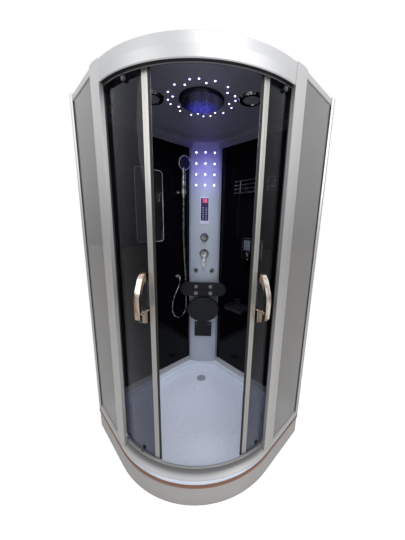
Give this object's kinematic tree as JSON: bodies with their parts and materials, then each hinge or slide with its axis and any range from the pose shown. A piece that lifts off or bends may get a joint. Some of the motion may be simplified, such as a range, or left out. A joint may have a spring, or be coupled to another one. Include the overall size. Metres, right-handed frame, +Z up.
{
  "type": "steam shower cabin",
  "caption": "Quarter-round corner steam shower cabin with curved sliding doors, back column, folding seat, hand shower and roof shower.",
  "frame": {"origin": "centre of the bounding box on the floor, under the levelling feet", "axes": "+Z up, -Y towards the rounded front with the doors, +X to the right seen from the front; the square corner points along +Y"},
  "size_m": [1.4076, 1.1648, 2.134],
  "materials": {
    "tray_white": "gloss",
    "apron_grey": "satin",
    "copper_trim": "brushed",
    "base_steel": "matte",
    "drain_plastic": "matte",
    "chrome": "polished",
    "black_glass": "gloss",
    "satin_aluminium": "satin",
    "column_silver": "brushed",
    "lamp_white": "gloss",
    "panel_black": "gloss",
    "keypad_grey": "matte",
    "valve_brass": "cast",
    "tank_steel": "brushed",
    "black_foam": "matte",
    "black_plastic": "matte",
    "tinted_glass": "gloss",
    "seal_rubber": "matte",
    "roof_grey": "gloss",
    "shower_dark": "gloss",
    "mirror_silver": "polished",
    "dispenser_chrome": "polished",
    "hose_steel": "polished",
    "clear_glass": "gloss",
    "wheel_nylon": "matte"
  },
  "bodies": {
    "cabin": {"apron_panel": "apron_grey", "backrest": "black_foam", "base_frame": "base_steel", "bottom_rail": "satin_aluminium", "ceiling_lamps": "chrome", "column_shell": "column_silver", "control_keypad": "keypad_grey", "control_panel": "panel_black", "dispenser_body": "dispenser_chrome", "drain_trap": "drain_plastic", "front_pillars": "satin_aluminium", "glass_rails": "satin_aluminium", "glazing_gaskets": "seal_rubber", "handset_bracket": "chrome", "header": "satin_aluminium", "hose": "hose_steel", "led_lamps": "lamp_white", "mirror": "mirror_silver", "overhead_shower": "shower_dark", "plumbing": "valve_brass", "rear_uprights": "satin_aluminium", "roof_panel": "roof_grey", "seat_bracket": "black_plastic", "seat_pin": "chrome", "side_glass": "tinted_glass", "soap_shelf": "black_plastic", "steam_generator": "tank_steel", "towel_rack": "chrome", "tray": "tray_white", "trim_strip": "copper_trim", "valve_and_jet_rings": "chrome", "wall_glass": "black_glass", "wall_outlet": "chrome"},
    "drain_cover": {"drain_cover": "chrome"},
    "seat": {"seat": "black_plastic"},
    "diverter_knob": {"diverter_knob": "chrome"},
    "mixer_hub": {"mixer_hub": "chrome"},
    "mixer_lever": {"mixer_lever": "chrome"},
    "dispenser_button_near": {"dispenser_button_near": "chrome"},
    "dispenser_button_far": {"dispenser_button_far": "chrome"},
    "handset_cradle": {"handset_cradle": "chrome"},
    "handset": {"handset": "chrome"},
    "door_left": {"door_glass_left": "clear_glass", "door_frame_left": "satin_aluminium", "door_seal_left": "seal_rubber", "door_handle_left": "chrome", "roller_mounts_left": "chrome"},
    "wheel_low_front_left": {"wheel_low_front_left": "wheel_nylon"},
    "wheel_high_front_left": {"wheel_high_front_left": "wheel_nylon"},
    "wheel_low_rear_left": {"wheel_low_rear_left": "wheel_nylon"},
    "wheel_high_rear_left": {"wheel_high_rear_left": "wheel_nylon"},
    "door_right": {"door_glass_right": "clear_glass", "door_frame_right": "satin_aluminium", "door_seal_right": "seal_rubber", "door_handle_right": "chrome", "roller_mounts_right": "chrome"},
    "wheel_low_front_right": {"wheel_low_front_right": "wheel_nylon"},
    "wheel_high_front_right": {"wheel_high_front_right": "wheel_nylon"},
    "wheel_low_rear_right": {"wheel_low_rear_right": "wheel_nylon"},
    "wheel_high_rear_right": {"wheel_high_rear_right": "wheel_nylon"}
  },
  "joints": [
    {"name": "door_left_slide", "type": "hinge", "parent": "cabin", "child": "door_left", "pos_m": [0, 0.07305, 0], "axis": [0, 0, 1], "range_deg": [-9.9, 16.05]},
    {"name": "door_right_slide", "type": "hinge", "parent": "cabin", "child": "door_right", "pos_m": [0, 0.07305, 0], "axis": [0, 0, 1], "range_deg": [-25.15, 0.8]},
    {"name": "wheel_low_front_left_turn", "type": "hinge", "parent": "door_left", "child": "wheel_low_front_left", "pos_m": [-0.28145, -0.46532, 0.2093], "axis": [-0.4633, -0.8862, 0], "range_deg": [-948.6, 585.9]},
    {"name": "wheel_high_front_left_turn", "type": "hinge", "parent": "door_left", "child": "wheel_high_front_left", "pos_m": [-0.28145, -0.46532, 1.9857], "axis": [-0.4633, -0.8862, 0], "range_deg": [-585.9, 948.6]},
    {"name": "wheel_low_rear_left_turn", "type": "hinge", "parent": "door_left", "child": "wheel_low_rear_left", "pos_m": [-0.44139, -0.34436, 0.2093], "axis": [-0.7266, -0.6871, 0], "range_deg": [-948.6, 585.9]},
    {"name": "wheel_high_rear_left_turn", "type": "hinge", "parent": "door_left", "child": "wheel_high_rear_left", "pos_m": [-0.44139, -0.34436, 1.9857], "axis": [-0.7266, -0.6871, 0], "range_deg": [-585.9, 948.6]},
    {"name": "wheel_low_front_right_turn", "type": "hinge", "parent": "door_right", "child": "wheel_low_front_right", "pos_m": [0.36306, -0.41403, 0.2093], "axis": [0.5976, -0.8018, 0], "range_deg": [-49.2, 1485.4]},
    {"name": "wheel_high_front_right_turn", "type": "hinge", "parent": "door_right", "child": "wheel_high_front_right", "pos_m": [0.36306, -0.41403, 1.9857], "axis": [0.5976, -0.8018, 0], "range_deg": [-1485.4, 49.2]},
    {"name": "wheel_low_rear_right_turn", "type": "hinge", "parent": "door_right", "child": "wheel_low_rear_right", "pos_m": [0.50186, -0.26929, 0.2093], "axis": [0.8261, -0.5635, 0], "range_deg": [-49.2, 1485.4]},
    {"name": "wheel_high_rear_right_turn", "type": "hinge", "parent": "door_right", "child": "wheel_high_rear_right", "pos_m": [0.50186, -0.26929, 1.9857], "axis": [0.8261, -0.5635, 0], "range_deg": [-1485.4, 49.2]},
    {"name": "seat_fold", "type": "hinge", "parent": "cabin", "child": "seat", "pos_m": [0, 0.37875, 0.556], "axis": [1, 0, 0], "range_deg": [0, 90]},
    {"name": "diverter_turn", "type": "hinge", "parent": "cabin", "child": "diverter_knob", "pos_m": [0, 0.38575, 1.32], "axis": [0, -1, 0], "range_deg": [-60, 60]},
    {"name": "mixer_turn", "type": "hinge", "parent": "cabin", "child": "mixer_hub", "pos_m": [0, 0.38575, 1.184], "axis": [0, -1, 0], "range_deg": [-50, 50]},
    {"name": "mixer_lift", "type": "hinge", "parent": "mixer_hub", "child": "mixer_lever", "pos_m": [0, 0.36475, 1.184], "axis": [-1, 0, 0], "range_deg": [0, 25]},
    {"name": "button_near_push", "type": "slide", "parent": "cabin", "child": "dispenser_button_near", "axis": [0.7071, 0.7071, 0], "range_m": [0, 0.004], "stiffness_N_per_m": 300},
    {"name": "button_far_push", "type": "slide", "parent": "cabin", "child": "dispenser_button_far", "axis": [0.7071, 0.7071, 0], "range_m": [0, 0.004], "stiffness_N_per_m": 300},
    {"name": "cradle_tilt", "type": "hinge", "parent": "cabin", "child": "handset_cradle", "pos_m": [-0.18173, 0.33897, 1.668], "axis": [0.7071, 0.7071, 0], "range_deg": [-10, 25]},
    {"name": "handset_lift", "type": "slide", "parent": "handset_cradle", "child": "handset", "axis": [0, 0, 1], "range_m": [0, 0.06], "deforming": ["hose"]},
    {"name": "drain_cover_lift", "type": "slide", "parent": "cabin", "child": "drain_cover", "axis": [0, 0, 1], "range_m": [0, 0.03]}
  ],
  "couplings": [
    {"joint": "wheel_low_front_left_turn", "follows": "door_left_slide", "ratio": -58.981},
    {"joint": "wheel_high_front_left_turn", "follows": "door_left_slide", "ratio": 58.981},
    {"joint": "wheel_low_rear_left_turn", "follows": "door_left_slide", "ratio": -58.981},
    {"joint": "wheel_high_rear_left_turn", "follows": "door_left_slide", "ratio": 58.981},
    {"joint": "wheel_low_front_right_turn", "follows": "door_right_slide", "ratio": -58.981},
    {"joint": "wheel_high_front_right_turn", "follows": "door_right_slide", "ratio": 58.981},
    {"joint": "wheel_low_rear_right_turn", "follows": "door_right_slide", "ratio": -58.981},
    {"joint": "wheel_high_rear_right_turn", "follows": "door_right_slide", "ratio": 58.981}
  ]
}
